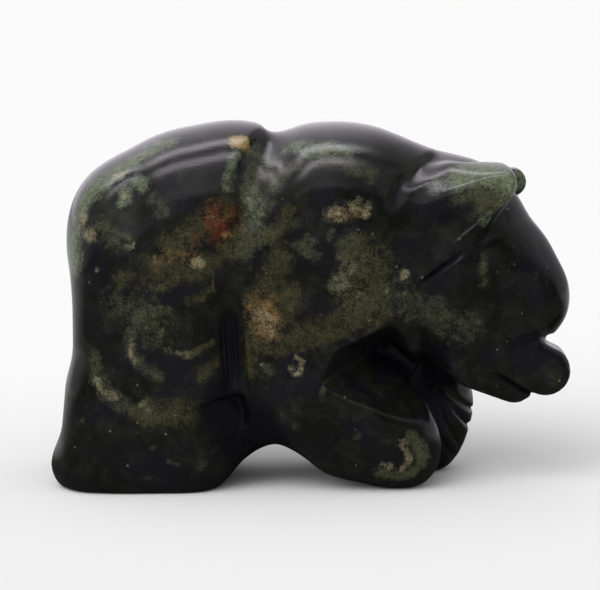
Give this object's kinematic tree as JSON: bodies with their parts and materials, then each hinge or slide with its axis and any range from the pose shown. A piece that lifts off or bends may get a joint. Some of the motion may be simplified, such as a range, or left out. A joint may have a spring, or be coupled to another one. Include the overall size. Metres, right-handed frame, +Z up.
{
  "type": "jasper bear carving",
  "caption": "Small polished stone bear standing on four feet, its head low and turned to its right, with laid-back leaf-shaped ears, slit eyes and a groove over the waist.",
  "frame": {"origin": "centre of the bounding box's underside, on the surface the bear stands on", "axes": "+X along the body towards the nose, +Y to the bear's left, +Z up"},
  "size_m": [0.0512, 0.0226, 0.0358],
  "materials": {
    "jasper": "polished dark green-black jasper with olive, cream and rust patches"
  },
  "bodies": {
    "root": {"bear": "jasper"}
  },
  "joints": []
}
